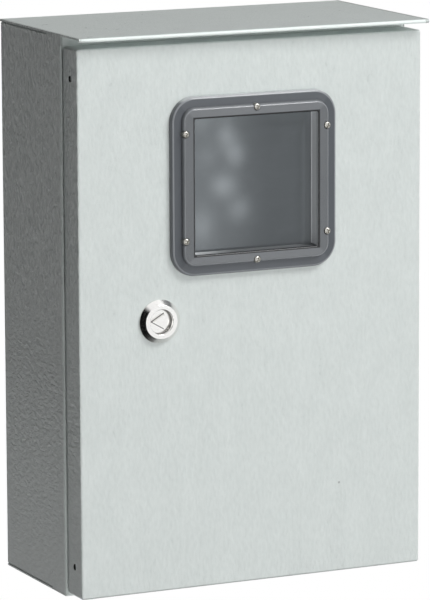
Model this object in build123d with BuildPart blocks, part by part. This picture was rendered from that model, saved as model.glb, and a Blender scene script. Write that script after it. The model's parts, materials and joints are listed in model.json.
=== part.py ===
"""Wall-mounted sheet-steel meter enclosure: body with rain canopy, hinged door, window and key lock.

Millimetres. The wall is the plane y = 0 and the front looks along -Y, with +Z up.
The origin is the centre of the four wall holes, at mid-height on the wall plane.
"""

import os

from build123d import *

# Body sheet
body_width = 300.0
body_height = 445.0
body_depth = 120.0
sheet = 1.2
bend = 0.4  # inside radius of a fold
flange_width = 18.0  # inward fold at the front of the body
lip_length = 19.0  # forward fold that presses into the door seal
weld_gap = 0.1
weld_flange = 12.0
floor_edge = 94.0  # the floor lies under the walls over this length from the back
seam_height = 1.4  # open joint along the floor and the canopy, over the same length
seam_depth = 0.8
wall_hole_side = 19.0  # side of the body to a wall hole
wall_hole_end = 27.5  # top or bottom of the body to a wall hole
wall_hole_radius = 4.5

# Canopy
canopy_sheet = 1.5
canopy_overhang = 10.1  # canopy's front edge ahead of the door's face
canopy_side = 1.0
hem_length = 10.0
hem_gap = 0.2
hem_relief = 4.0  # side of the canopy to the end of the folded flap

# Door
door_side_gap = 1.1
door_top_gap = 7.8
door_bottom_gap = 2.8
door_gap = 3.5  # door return to body flange
door_return = 25.5
door_corner = 2.0
seal_width = 12.0
seal_gap = 0.2

# Window, heights measured forward from the door's face
window_drop = 112.0  # top of the door to the middle of the window
window_width = 143.0
window_height = 141.0
window_corner = 20.0
window_edge = 2.6
rim_height = 5.0
band_height = 4.0
band_inset = 8.0
band_corner = 11.0
band_draft = 16.0
band_edge = 1.5
opening_edge = 0.8
opening_side = 17.9  # side of the bezel to the opening
opening_end = 16.9  # top or bottom of the bezel to the opening
opening_corner = 2.0
tray_wall = 1.8
tray_flange = 2.0
tray_margin = 4.0  # from a screw's axis to the edge of the tray's flange
pane_recess = 12.3  # window front to pane
pane_thickness = 2.5
gasket_thickness = 1.0
tray_clearance = 0.4
window_screw_inset = 10.2
window_screw_end = 28.4  # top or bottom of the window to a side screw
window_screw_radius = 1.5
window_head_radius = 2.8
window_head_height = 5.0
window_head_dome = 1.8
window_head_pocket = 0.25
window_nut_width = 5.5
window_nut_height = 2.4
screw_clearance = 0.2
screw_tail = 1.5

# Lock
lock_inset = 68.0  # edge of the door to the key axis
lock_base_radius = 17.3
lock_face_radius = 13.4
lock_height = 5.0
lock_flange = 1.2
lock_recess_radius = 9.8
lock_recess_depth = 5.0
lock_disc = 4.0
lock_shaft_radius = 6.5
lock_barrel_radius = 11.0
lock_barrel_length = 18.0
lock_flats = 20.0
lock_edge = 0.6
lock_nut_width = 27.0
lock_nut_height = 5.0
lock_ring_radius = 14.5
lock_ring_thickness = 1.0
key_radius = 7.0
key_height = 4.0
key_edge = 0.5
disc_edge = 0.6
running_clearance = 0.05
end_play = 0.15
fixed_fit = 0.02
cam_width = 18.0
cam_thickness = 3.0
cam_hub = 10.0
cam_straight = 15.0
cam_run = 14.0
cam_bend = 2.0
cam_overlap = 8.0  # how far the cam's tip goes behind the flange
cam_clearance = 0.8
cam_square = 8.0
cam_screw_radius = 3.0
cam_screw_depth = 12.0
cam_screw_flange_radius = 7.0
cam_screw_flange = 1.5
cam_screw_head = 4.0
cam_screw_width = 10.0

# Hinges
hinge_inset = 6.5  # side of the door to the hinge axis
hinge_setback = 17.5  # face of the door to the hinge axis
hinge_margin = 24.0  # end of the door to the bracket's screw
hinge_screw_setback = 13.4
hinge_screw_radius = 2.0
spare_hole_radius = 2.5  # bracket holes on the side away from the hinges
hinge_head_radius = 3.7
hinge_head_height = 2.4
hinge_pin_radius = 2.5
hinge_pin_head_radius = 3.1
hinge_pin_head = 1.5
hinge_pin_tail = 2.0
hinge_eye_radius = 4.5
bracket_sheet = 2.0
bracket_height = 18.0
bracket_front = 5.5  # reach of the bracket forward of its screw
bracket_back = 4.0  # reach of the bracket behind the hinge axis
washer_thickness = 0.8
lug_thickness = 4.0
lug_root = 7.5

# Mounting plate
plate_side = 35.0  # side of the body to the plate
plate_end = 30.0  # top or bottom of the body to the plate
plate_sheet = 2.0
plate_corner = 6.0
plate_standoff = 15.0
stud_inset = 12.0
stud_radius = 3.0
stud_tail = 5.0
spacer_radius = 6.0
nut_width = 10.0
nut_height = 5.0
nut_flange_radius = 6.5
nut_flange = 1.2
meter_slot_width = 5.5
meter_slot_length = 34.0
meter_slot_x = 92.0
meter_slot_z = 130.0

# Device rail
rail_side = 15.0  # side of the plate to the end of the rail
rail_width = 35.0
rail_channel = 27.0
rail_height = 7.5
rail_sheet = 1.0
rail_bend = 0.8
rail_drop = 110.0  # middle of the box to the rail
rail_slot_length = 15.0
rail_slot_width = 6.2
rail_slot_pitch = 25.0
rail_screw_radius = 2.5
rail_head_radius = 4.5
rail_head_height = 3.0

# Earth studs
earth_inset = 18.0  # side of the body to the stud
earth_height = 72.0  # floor to the stud
earth_collar = 5.0
earth_length = 21.0
door_earth_inset = 48.0
door_earth_height = 40.0
door_earth_length = 15.0

# Cable entries
grommet_hole_radius = 14.0
grommet_lip = 3.5
grommet_inner_lip = 2.5
grommet_outer_lip = 3.0
grommet_cone_radius = 9.5
grommet_tip_radius = 6.0
grommet_step = 3.0
grommet_wall = 1.5
grommet_pitch = 75.0
grommet_back = 46.0

# Levels and planes that several pieces share
fold = bend + sheet
half_width = body_width / 2
wall_hole_x = body_width - 2 * wall_hole_side
wall_hole_z = body_height - 2 * wall_hole_end
z_bottom = -body_height / 2
z_top = body_height / 2
roof_under = z_top - canopy_sheet
back_face = -sheet
flange_face = -body_depth
lip_face = flange_face - lip_length
lip_x = half_width - flange_width
lip_low = z_bottom + flange_width
lip_high = roof_under - flange_width
notch_x = lip_x + bend
relief_x = lip_x - sheet - weld_gap + fold

door_back = flange_face - door_gap
door_front = door_back - door_return
door_inner = door_front + sheet
canopy_front = door_front - canopy_overhang
door_half = half_width - door_side_gap
door_high = roof_under - door_top_gap
door_low = z_bottom + door_bottom_gap
door_mid = (door_high + door_low) / 2
door_height = door_high - door_low
return_inner = door_half - sheet

window_z = door_high - window_drop
window_front = rim_height + band_height
screw_x = window_width / 2 - window_screw_inset
screw_z = window_height / 2 - window_screw_inset
side_screw_z = window_height / 2 - window_screw_end
window_screws_at = [(0, window_z - screw_z), (0, window_z + screw_z)]
for side in (-screw_x, screw_x):
    window_screws_at += [(side, window_z - side_screw_z), (side, window_z + side_screw_z)]
opening_width = window_width - 2 * opening_side
opening_height = window_height - 2 * opening_end
tray_outer_width = opening_width + 2 * tray_wall
tray_outer_height = opening_height + 2 * tray_wall
flange_outer_width = 2 * (screw_x + tray_margin)
flange_outer_height = 2 * (screw_z + tray_margin)

lock_x = lock_inset - door_half
lock_z = door_mid
lock_axis = Axis((lock_x, door_front, lock_z), (0, 1, 0))
lock_plane = Plane(origin=(lock_x, door_front, lock_z), x_dir=(1, 0, 0), z_dir=(0, 0, 1))
disc_top = lock_recess_depth - lock_height
disc_seat = disc_top + lock_disc + end_play
hub_depth = lock_barrel_length + end_play
cam_face = flange_face + sheet + cam_clearance
cam_reach = lip_x + cam_overlap + lock_x

hinge_x = door_half - hinge_inset
hinge_y = door_front + hinge_setback
hinge_screw_y = door_front + hinge_screw_setback
hinges = [("upper", door_high - hinge_margin, -1), ("lower", door_low + hinge_margin, 1)]
hinge_screws_at = [(hinge_screw_y, z) for name, z, inward in hinges]

plate_width = body_width - 2 * plate_side
plate_height = body_height - 2 * plate_end
plate_back = back_face - plate_standoff
plate_front = plate_back - plate_sheet
stud_x = plate_width - 2 * stud_inset
stud_z = plate_height - 2 * stud_inset
rail_length = plate_width - 2 * rail_side
rail_slots = int(rail_length / rail_slot_pitch) - 1
rail_screw_x = (rail_slots - 1) * rail_slot_pitch / 2
rail_z = -rail_drop
rail_screws_at = [(-rail_screw_x, rail_z), (rail_screw_x, rail_z)]
grommets = [("left", -grommet_pitch), ("centre", 0), ("right", grommet_pitch)]


def front(y):
    """Plane across the box at depth y, looking out of the front."""
    return Plane.XZ.offset(-y)


def folded(plane, points, radii, side, thickness=sheet):
    """Section of a folded sheet: a line of flat runs and bends, thickened to one side."""
    with BuildSketch(plane) as section:
        with BuildLine():
            FilletPolyline(*points, radius=radii)
            offset(amount=thickness, side=side)
        make_face()
    return section.sketch


def turned(plane, points):
    """Half section of a turned piece, as radius and depth along its axis."""
    with BuildSketch(plane) as section:
        with BuildLine():
            Polyline(*points, close=True)
        make_face()
    return section.sketch


def finish(piece, name):
    piece.label = name
    export_step(piece, f"parts/{name}.step")


os.makedirs("parts", exist_ok=True)

# Left wall, back and right wall: one sheet, with a flange and a sealing lip at each front edge
wrap_line = [
    (-lip_x, lip_face),
    (-lip_x, flange_face),
    (-half_width, flange_face),
    (-half_width, 0),
    (half_width, 0),
    (half_width, flange_face),
    (lip_x, flange_face),
    (lip_x, lip_face),
]
with BuildPart() as body_wrap:
    wrap = folded(Plane.XY.offset(z_bottom), wrap_line, [bend, fold, fold, fold, fold, bend], Side.RIGHT)
    extrude(wrap, amount=roof_under - z_bottom)
    with BuildSketch(front(flange_face + sheet)):
        with Locations((0, z_bottom)):
            Rectangle(2 * notch_x, flange_width, align=(Align.CENTER, Align.MIN))
        with Locations((0, roof_under)):
            Rectangle(2 * notch_x, flange_width, align=(Align.CENTER, Align.MAX))
    extrude(amount=lip_length + sheet, mode=Mode.SUBTRACT)
    with BuildSketch(Plane.XY.offset(z_bottom)):
        Rectangle(body_width, floor_edge, align=(Align.CENTER, Align.MAX))
    extrude(amount=sheet, mode=Mode.SUBTRACT)
    with BuildSketch(Plane.XY.offset(z_bottom + sheet), Plane.XY.offset(roof_under - seam_height)):
        Rectangle(body_width, floor_edge, align=(Align.CENTER, Align.MAX))
        with Locations((0, -seam_depth)):
            inside = body_width - 2 * seam_depth
            Rectangle(inside, floor_edge, align=(Align.CENTER, Align.MAX), mode=Mode.SUBTRACT)
    extrude(amount=seam_height, mode=Mode.SUBTRACT)
    with BuildSketch(front(0)):
        with GridLocations(wall_hole_x, wall_hole_z, 2, 2):
            Circle(wall_hole_radius)
    extrude(amount=sheet, mode=Mode.SUBTRACT)
finish(body_wrap.part, "body_wrap")

# Top sheet: overhangs the door and is folded under itself at the front
with BuildPart() as canopy:
    hem_radius = canopy_sheet + hem_gap / 2
    with BuildSketch(Plane.YZ):
        with BuildLine():
            top = Line((0, z_top), (canopy_front + hem_radius, z_top))
            nose = TangentArc(top @ 1, top @ 1 - (0, 2 * hem_radius), tangent=top % 1)
            Line(nose @ 1, nose @ 1 + (hem_length, 0))
            offset(amount=canopy_sheet, side=Side.LEFT)
        make_face()
    extrude(amount=half_width + canopy_side, both=True)
    with BuildSketch(Plane.XY.offset(z_top - canopy_sheet)):
        with GridLocations(2 * (half_width + canopy_side), 0, 2, 1):
            with Locations((0, canopy_front + hem_radius)):
                Rectangle(2 * hem_relief, hem_length, align=(Align.CENTER, Align.MIN))
    extrude(amount=-2 * hem_radius, mode=Mode.SUBTRACT)
finish(canopy.part, "canopy")

# Strip under the canopy: weld flange, front flange and sealing lip
top_rim_line = [
    (flange_face + weld_flange, roof_under),
    (flange_face, roof_under),
    (flange_face, lip_high),
    (lip_face, lip_high),
]
with BuildPart() as top_rim:
    extrude(folded(Plane.YZ, top_rim_line, [fold, bend], Side.LEFT), amount=notch_x - weld_gap, both=True)
    with BuildSketch(front(flange_face + sheet)):
        with Locations((-relief_x, lip_high + bend), (relief_x, lip_high + bend)):
            Rectangle(2 * fold, 2 * fold, align=(Align.CENTER, Align.MAX))
    extrude(amount=lip_length + sheet, mode=Mode.SUBTRACT)
finish(top_rim.part, "top_rim")

# Floor sheet: flush under the walls at the back, between them at the front, with flange and lip
floor_line = [
    (-floor_edge, z_bottom),
    (flange_face, z_bottom),
    (flange_face, lip_low),
    (lip_face, lip_low),
]
with BuildPart() as bottom_panel:
    extrude(folded(Plane.YZ, floor_line, [fold, bend], Side.RIGHT), amount=notch_x - weld_gap, both=True)
    with BuildSketch(front(flange_face + sheet)):
        with Locations((-relief_x, lip_low - bend), (relief_x, lip_low - bend)):
            Rectangle(2 * fold, 2 * fold, align=(Align.CENTER, Align.MIN))
    extrude(amount=lip_length + sheet, mode=Mode.SUBTRACT)
    with BuildSketch(Plane.XY.offset(z_bottom)) as floor:
        Rectangle(body_width, floor_edge, align=(Align.CENTER, Align.MAX))
        fillet(floor.vertices().group_by(Axis.Y)[-1], fold)
        with Locations((0, flange_face + sheet + weld_gap)):
            inside = body_width - 2 * (sheet + weld_gap)
            Rectangle(inside, body_depth - sheet - fold, align=(Align.CENTER, Align.MIN))
        fillet(floor.vertices().group_by(Axis.Y)[0], bend)
        with Locations(*[(x, -grommet_back) for name, x in grommets]):
            Circle(grommet_hole_radius, mode=Mode.SUBTRACT)
    extrude(amount=sheet)
finish(bottom_panel.part, "bottom_panel")

# Cable entries: closed stepped rubber grommets that grip the edge of their hole
neck = grommet_hole_radius - fixed_fit
for name, x in grommets:
    entry = Plane(origin=(x, -grommet_back, z_bottom), x_dir=(1, 0, 0), z_dir=(0, -1, 0))
    low = -grommet_outer_lip
    outline = [
        (0, low - 2 * grommet_step),
        (grommet_tip_radius, low - 2 * grommet_step),
        (grommet_tip_radius, low - grommet_step),
        (grommet_cone_radius, low - grommet_step),
        (grommet_cone_radius, low),
        (grommet_hole_radius + grommet_lip, low),
        (grommet_hole_radius + grommet_lip, 0),
        (neck, 0),
        (neck, sheet),
        (grommet_hole_radius + grommet_inner_lip, sheet),
        (neck, sheet + grommet_inner_lip),
        (grommet_cone_radius - grommet_wall, sheet + grommet_inner_lip),
        (grommet_cone_radius - grommet_wall, low - grommet_step + grommet_wall),
        (grommet_tip_radius - grommet_wall, low - grommet_step + grommet_wall),
        (grommet_tip_radius - grommet_wall, low - 2 * grommet_step + grommet_wall),
        (0, low - 2 * grommet_step + grommet_wall),
    ]
    with BuildPart() as cable_grommet:
        revolve(turned(entry, outline), axis=Axis((x, -grommet_back, 0), (0, 0, 1)))
    finish(cable_grommet.part, f"cable_grommet_{name}")

# Door: folded pan, with the cut-outs for window and lock and screw holes in both side returns
with BuildPart() as door_panel:
    with BuildSketch(front(door_back)):
        with Locations((0, door_mid)):
            RectangleRounded(2 * door_half, door_height, door_corner)
    extrude(amount=door_return)
    fillet(door_panel.faces().sort_by(Axis.Y)[0].edges(), fold)
    offset(amount=-sheet, openings=door_panel.faces().sort_by(Axis.Y)[-1])
    with BuildSketch(front(door_inner)):
        with Locations((0, window_z)):
            cut_width = tray_outer_width + 2 * tray_clearance
            cut_height = tray_outer_height + 2 * tray_clearance
            RectangleRounded(cut_width, cut_height, opening_corner + tray_wall + tray_clearance)
        with Locations(*window_screws_at):
            Circle(window_screw_radius + screw_clearance)
    extrude(amount=sheet, mode=Mode.SUBTRACT)
    with BuildSketch(front(door_inner)):
        with Locations((lock_x, lock_z)):
            Circle(lock_barrel_radius + screw_clearance)
            Rectangle(lock_flats + 2 * screw_clearance, 2 * lock_base_radius, mode=Mode.INTERSECT)
    extrude(amount=sheet, mode=Mode.SUBTRACT)
    with BuildSketch(Plane.YZ):
        with Locations(*hinge_screws_at):
            Circle(hinge_screw_radius + screw_clearance)
    extrude(amount=half_width, mode=Mode.SUBTRACT)
    with BuildSketch(Plane.YZ):
        with Locations(*hinge_screws_at):
            Circle(spare_hole_radius)
    extrude(amount=-half_width, mode=Mode.SUBTRACT)
finish(door_panel.part, "door_panel")

# Foam ring that the body's lips press into
with BuildPart() as door_seal:
    with BuildSketch(front(lip_face - seal_gap)):
        with Locations((0, (lip_high + lip_low) / 2)):
            ring_width = 2 * lip_x - sheet
            ring_height = lip_high - lip_low - sheet
            RectangleRounded(ring_width + seal_width, ring_height + seal_width, seal_width)
            Rectangle(ring_width - seal_width, ring_height - seal_width, mode=Mode.SUBTRACT)
    extrude(amount=lip_face - seal_gap - door_inner)
finish(door_seal.part, "door_seal")

# Window bezel: low outer rim, drafted raised band, pockets for the screws, hollow underneath
with BuildPart() as window_frame:
    with BuildSketch(front(door_front)):
        with Locations((0, window_z)):
            RectangleRounded(window_width, window_height, window_corner)
    extrude(amount=rim_height)
    fillet(window_frame.faces().sort_by(Axis.Y)[0].edges(), window_edge)
    with BuildSketch(front(door_front - rim_height)):
        with Locations((0, window_z)):
            RectangleRounded(window_width - 2 * band_inset, window_height - 2 * band_inset, band_corner)
    extrude(amount=band_height, taper=band_draft)
    fillet(window_frame.faces().sort_by(Axis.Y)[0].edges(), band_edge)
    with BuildSketch(front(door_front)):
        with Locations((0, window_z)):
            RectangleRounded(opening_width, opening_height, opening_corner)
    extrude(amount=window_front, mode=Mode.SUBTRACT)
    fillet(window_frame.faces().sort_by(Axis.Y)[0].inner_wires().edges(), opening_edge)
    with BuildSketch(front(door_front)):
        with Locations((0, window_z)):
            rebate = 2 * tray_clearance
            rebate_corner = opening_corner + tray_wall
            RectangleRounded(tray_outer_width + rebate, tray_outer_height + rebate, rebate_corner)
    extrude(amount=rim_height, mode=Mode.SUBTRACT)
    with BuildSketch(front(door_front)):
        with Locations((0, window_z)):
            RectangleRounded(flange_outer_width + rebate, flange_outer_height + rebate, band_corner)
    extrude(amount=gasket_thickness + tray_flange, mode=Mode.SUBTRACT)
    with BuildSketch(front(door_front - rim_height)):
        with Locations(*window_screws_at):
            Circle(window_head_radius + window_head_pocket)
    extrude(amount=band_height, mode=Mode.SUBTRACT)
    with BuildSketch(front(door_front)):
        with Locations(*window_screws_at):
            Circle(window_screw_radius + screw_clearance)
    extrude(amount=rim_height, mode=Mode.SUBTRACT)
finish(window_frame.part, "window_frame")

# Clear tray: flange under the bezel, walls through the door and the pane at its bottom
with BuildPart() as window_pane:
    with BuildSketch(front(door_front - gasket_thickness)):
        with Locations((0, window_z)):
            RectangleRounded(flange_outer_width, flange_outer_height, band_corner)
        with Locations(*window_screws_at):
            Circle(window_screw_radius + screw_clearance, mode=Mode.SUBTRACT)
    extrude(amount=tray_flange)
    pane_front = door_front - window_front + pane_recess
    with BuildSketch(front(pane_front + pane_thickness)):
        with Locations((0, window_z)):
            RectangleRounded(tray_outer_width, tray_outer_height, opening_corner + tray_wall)
    extrude(amount=pane_recess + pane_thickness - band_height - end_play)
    with BuildSketch(front(pane_front)):
        with Locations((0, window_z)):
            RectangleRounded(opening_width, opening_height, opening_corner)
    extrude(amount=pane_recess, mode=Mode.SUBTRACT)
finish(window_pane.part, "window_pane")

# Flat gasket between the tray's flange and the door
with BuildPart() as window_gasket:
    with BuildSketch(front(door_front)):
        with Locations((0, window_z)):
            RectangleRounded(flange_outer_width, flange_outer_height, band_corner)
            RectangleRounded(cut_width, cut_height, opening_corner + tray_wall, mode=Mode.SUBTRACT)
        with Locations(*window_screws_at):
            Circle(window_screw_radius + screw_clearance, mode=Mode.SUBTRACT)
    extrude(amount=gasket_thickness)
finish(window_gasket.part, "window_gasket")

# Six domed screws, each with a nut inside the door
with BuildPart() as window_screws:
    with BuildSketch(front(door_front - rim_height)):
        with Locations(*window_screws_at):
            Circle(window_head_radius)
    extrude(amount=window_head_height)
    fillet(window_screws.edges().filter_by(GeomType.CIRCLE).group_by(Axis.Y)[0], window_head_dome)
    with BuildSketch(front(door_front - rim_height)):
        with Locations(*window_screws_at):
            Circle(window_screw_radius)
    extrude(amount=-(rim_height + sheet + window_nut_height + screw_tail))
finish(window_screws.part, "window_screws")

with BuildPart() as window_nuts:
    with BuildSketch(front(door_inner)):
        with Locations(*window_screws_at):
            RegularPolygon(window_nut_width / 2, 6, major_radius=False)
            Circle(window_screw_radius + fixed_fit, mode=Mode.SUBTRACT)
    extrude(amount=-window_nut_height)
finish(window_nuts.part, "window_nuts")

# Lock housing: coned flange on the door's face, barrel with two flats, stepped bore for the insert
with BuildPart() as lock_housing:
    outline = [
        (lock_recess_radius, -lock_height),
        (lock_face_radius, -lock_height),
        (lock_base_radius, -lock_flange),
        (lock_base_radius, 0),
        (lock_ring_radius, 0),
        (lock_ring_radius, -lock_ring_thickness),
        (lock_barrel_radius, -lock_ring_thickness),
        (lock_barrel_radius, lock_barrel_length),
        (lock_shaft_radius + running_clearance, lock_barrel_length),
        (lock_shaft_radius + running_clearance, disc_seat),
        (lock_recess_radius, disc_seat),
    ]
    revolve(turned(lock_plane, outline), axis=lock_axis)
    fillet(lock_housing.faces().sort_by(Axis.Y)[0].edges(), lock_edge)
    with BuildSketch(front(door_front)):
        with Locations((lock_x, lock_z)):
            Circle(lock_barrel_radius)
            Rectangle(lock_flats, 2 * lock_barrel_radius, mode=Mode.SUBTRACT)
    extrude(amount=-lock_barrel_length, mode=Mode.SUBTRACT)
finish(lock_housing.part, "lock_housing")

# Rubber ring in the groove under the lock's flange
with BuildPart() as lock_ring:
    with BuildSketch(front(door_front)):
        with Locations((lock_x, lock_z)):
            Circle(lock_ring_radius - fixed_fit)
            Circle(lock_barrel_radius + screw_clearance, mode=Mode.SUBTRACT)
    extrude(amount=lock_ring_thickness)
finish(lock_ring.part, "lock_ring")

with BuildPart() as lock_nut:
    with BuildSketch(front(door_inner)):
        with Locations((lock_x, lock_z)):
            RegularPolygon(lock_nut_width / 2, 6, major_radius=False)
            Circle(lock_barrel_radius + fixed_fit, mode=Mode.SUBTRACT)
    extrude(amount=-lock_nut_height)
finish(lock_nut.part, "lock_nut")

# Insert: disc that floors the recess, three-sided key boss, shaft and a square for the cam
with BuildPart() as lock_insert:
    outline = [
        (0, disc_top),
        (lock_recess_radius - running_clearance - disc_edge, disc_top),
        (lock_recess_radius - running_clearance, disc_top + disc_edge),
        (lock_recess_radius - running_clearance, disc_seat - end_play),
        (lock_shaft_radius, disc_seat - end_play),
        (lock_shaft_radius, hub_depth),
        (0, hub_depth),
    ]
    revolve(turned(lock_plane, outline), axis=lock_axis)
    with BuildSketch(front(door_front + disc_top)) as key:
        with Locations((lock_x, lock_z)):
            RegularPolygon(key_radius, 3, rotation=180)
        fillet(key.vertices(), key_edge)
    extrude(amount=key_height)
    with BuildSketch(front(door_front + hub_depth)):
        with Locations((lock_x, lock_z)):
            Rectangle(cam_square, cam_square)
    extrude(amount=-(cam_thickness - end_play))
    with BuildSketch(front(door_front + hub_depth + cam_thickness)):
        with Locations((lock_x, lock_z)):
            Circle(cam_screw_radius + fixed_fit)
    extrude(amount=cam_screw_depth + end_play, mode=Mode.SUBTRACT)
finish(lock_insert.part, "lock_insert")

# Cam: cranked steel tongue, hanging down when the lock is open
cam_line = [
    (door_front + hub_depth, lock_z + cam_hub),
    (door_front + hub_depth, lock_z - cam_straight),
    (cam_face, lock_z - cam_straight - cam_run),
    (cam_face, lock_z - cam_reach),
]
with BuildPart() as lock_cam:
    cam_radii = [cam_bend + cam_thickness, cam_bend]
    cam = folded(Plane.YZ.offset(lock_x), cam_line, cam_radii, Side.LEFT, cam_thickness)
    extrude(cam, amount=cam_width / 2, both=True)
    fillet(lock_cam.edges().filter_by(Axis.Y), cam_width / 4)
    with BuildSketch(front(door_front + hub_depth)):
        with Locations((lock_x, lock_z)):
            Rectangle(cam_square + 2 * running_clearance, cam_square + 2 * running_clearance)
    extrude(amount=-cam_thickness, mode=Mode.SUBTRACT)
finish(lock_cam.part, "lock_cam")

with BuildPart() as lock_cam_screw:
    with BuildSketch(front(door_front + hub_depth + cam_thickness)):
        with Locations((lock_x, lock_z)):
            Circle(cam_screw_radius)
    extrude(amount=cam_screw_depth)
    with BuildSketch(front(door_front + hub_depth + cam_thickness)):
        with Locations((lock_x, lock_z)):
            Circle(cam_screw_flange_radius)
    extrude(amount=-cam_screw_flange)
    with BuildSketch(front(door_front + hub_depth + cam_thickness + cam_screw_flange)):
        with Locations((lock_x, lock_z)):
            RegularPolygon(cam_screw_width / 2, 6, major_radius=False)
    extrude(amount=-cam_screw_head)
finish(lock_cam_screw.part, "lock_cam_screw")

# Hinges: a lug on the body's lip, a bracket inside the door's return and a pin pressed into the bracket
for name, screw_level, inward in hinges:
    ear_end = screw_level + inward * bracket_height / 2
    ear_start = ear_end - inward * bracket_sheet
    washer_end = ear_end + inward * washer_thickness
    lug_start = washer_end + inward * end_play
    lug_end = lug_start + inward * lug_thickness

    with BuildPart() as hinge_lug:
        with BuildSketch(Plane.XY.offset(min(lug_start, lug_end))) as lug:
            with Locations((hinge_x, hinge_y)):
                Circle(hinge_eye_radius)
            with Locations((lip_x, hinge_y)):
                Rectangle(bend, lug_root, align=(Align.MIN, Align.MAX))
            make_hull()
            with Locations((hinge_x, hinge_y)):
                Circle(hinge_pin_radius + running_clearance, mode=Mode.SUBTRACT)
        extrude(amount=lug_thickness)
    finish(hinge_lug.part, f"hinge_lug_{name}")

    leg_front = hinge_screw_y - bracket_front
    leg_back = hinge_y + bracket_back
    with BuildPart() as hinge_bracket:
        with BuildSketch(Plane.YZ.offset(return_inner)):
            with Locations((leg_front, screw_level)):
                Rectangle(leg_back - leg_front, bracket_height, align=(Align.MIN, Align.CENTER))
            with Locations((hinge_screw_y, screw_level)):
                Circle(hinge_screw_radius + fixed_fit, mode=Mode.SUBTRACT)
        extrude(amount=-bracket_sheet)
        with BuildSketch(Plane.XY.offset(min(ear_start, ear_end))):
            with Locations((hinge_x, hinge_y)):
                Circle(hinge_eye_radius)
            with Locations((return_inner, leg_front)):
                Rectangle(bracket_sheet, leg_back - leg_front, align=(Align.MAX, Align.MIN))
            make_hull()
        extrude(amount=bracket_sheet)
        with BuildSketch(Plane.XY.offset(min(ear_start, ear_end))):
            with Locations((hinge_x, hinge_y)):
                Circle(hinge_pin_radius + fixed_fit)
        extrude(amount=bracket_sheet, mode=Mode.SUBTRACT)
    finish(hinge_bracket.part, f"hinge_bracket_{name}")

    with BuildPart() as hinge_pin:
        with BuildSketch(Plane.XY.offset(ear_start)):
            with Locations((hinge_x, hinge_y)):
                Circle(hinge_pin_head_radius)
        extrude(amount=-inward * hinge_pin_head)
        with BuildSketch(Plane.XY.offset(ear_start)):
            with Locations((hinge_x, hinge_y)):
                Circle(hinge_pin_radius)
        extrude(amount=lug_end - ear_start + inward * hinge_pin_tail)
    finish(hinge_pin.part, f"hinge_pin_{name}")

with BuildPart() as hinge_washers:
    for name, screw_level, inward in hinges:
        with BuildSketch(Plane.XY.offset(screw_level + inward * bracket_height / 2)):
            with Locations((hinge_x, hinge_y)):
                Circle(hinge_eye_radius)
                Circle(hinge_pin_radius + running_clearance, mode=Mode.SUBTRACT)
        extrude(amount=inward * washer_thickness)
finish(hinge_washers.part, "hinge_washers")

with BuildPart() as hinge_screws:
    with BuildSketch(Plane.YZ.offset(door_half)):
        with Locations(*hinge_screws_at):
            Circle(hinge_head_radius)
    extrude(amount=hinge_head_height)
    fillet(hinge_screws.edges().filter_by(GeomType.CIRCLE).group_by(Axis.X)[-1], hinge_head_height / 2)
    with BuildSketch(Plane.YZ.offset(door_half)):
        with Locations(*hinge_screws_at):
            Circle(hinge_screw_radius)
    extrude(amount=-(sheet + bracket_sheet))
finish(hinge_screws.part, "hinge_screws")

# Mounting plate on four studs, with slots for a meter behind the window
with BuildPart() as mounting_plate:
    with BuildSketch(front(plate_back)):
        RectangleRounded(plate_width, plate_height, plate_corner)
        with GridLocations(stud_x, stud_z, 2, 2):
            Circle(stud_radius + screw_clearance, mode=Mode.SUBTRACT)
        with Locations((0, window_z)):
            with GridLocations(meter_slot_x, meter_slot_z, 2, 2):
                SlotOverall(meter_slot_length, meter_slot_width, rotation=90, mode=Mode.SUBTRACT)
        with Locations(*rail_screws_at):
            Circle(rail_screw_radius + fixed_fit, mode=Mode.SUBTRACT)
    extrude(amount=plate_sheet)
finish(mounting_plate.part, "mounting_plate")

with BuildPart() as plate_studs:
    with BuildSketch(front(back_face)):
        with GridLocations(stud_x, stud_z, 2, 2):
            Circle(stud_radius)
    extrude(amount=plate_standoff + plate_sheet + nut_height + stud_tail)
finish(plate_studs.part, "plate_studs")

with BuildPart() as plate_spacers:
    with BuildSketch(front(back_face)):
        with GridLocations(stud_x, stud_z, 2, 2):
            Circle(spacer_radius)
            Circle(stud_radius + screw_clearance, mode=Mode.SUBTRACT)
    extrude(amount=plate_standoff)
finish(plate_spacers.part, "plate_spacers")


def flange_nut(plane, spots, bore):
    """Hexagon nuts with a round flange, standing on the plane at each spot."""
    with BuildPart() as nuts:
        with BuildSketch(plane):
            with Locations(*spots):
                Circle(nut_flange_radius)
                Circle(bore, mode=Mode.SUBTRACT)
        extrude(amount=nut_flange)
        with BuildSketch(plane.offset(nut_flange)):
            with Locations(*spots):
                RegularPolygon(nut_width / 2, 6, major_radius=False)
                Circle(bore, mode=Mode.SUBTRACT)
        extrude(amount=nut_height - nut_flange)
    return nuts.part


stud_spots = [(side * stud_x / 2, end * stud_z / 2) for side in (-1, 1) for end in (-1, 1)]
finish(flange_nut(front(plate_front), stud_spots, stud_radius + fixed_fit), "plate_nuts")

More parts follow.
